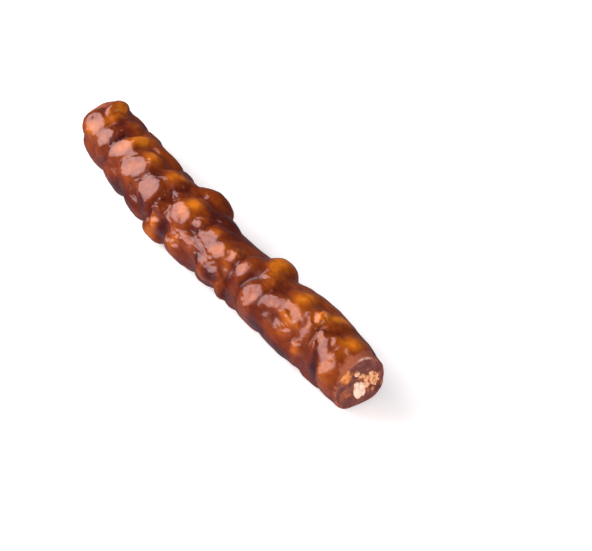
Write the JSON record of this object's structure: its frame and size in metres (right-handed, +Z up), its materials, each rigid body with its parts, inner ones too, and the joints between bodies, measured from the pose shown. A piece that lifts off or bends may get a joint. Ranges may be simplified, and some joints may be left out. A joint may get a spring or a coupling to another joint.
{
  "type": "churchkhela",
  "caption": "Stick of threaded walnut kernels in a glossy, lumpy coat of set grape juice, with both ends cut off flat.",
  "frame": {"origin": "centre of the footprint, on the surface that the stick lies on", "axes": "+X along the stick towards the cut that shows the kernels, +Z up, -Y the side that faces the camera"},
  "size_m": [0.19, 0.0334, 0.0273],
  "materials": {
    "jelly": "glossy set grape jelly, amber brown over the kernels and maroon where it is thick",
    "kernel": "cut walnut flesh, cream with golden skin"
  },
  "bodies": {
    "root": {"grape_jelly_coat": "jelly", "walnut_kernels": "kernel"}
  },
  "joints": []
}
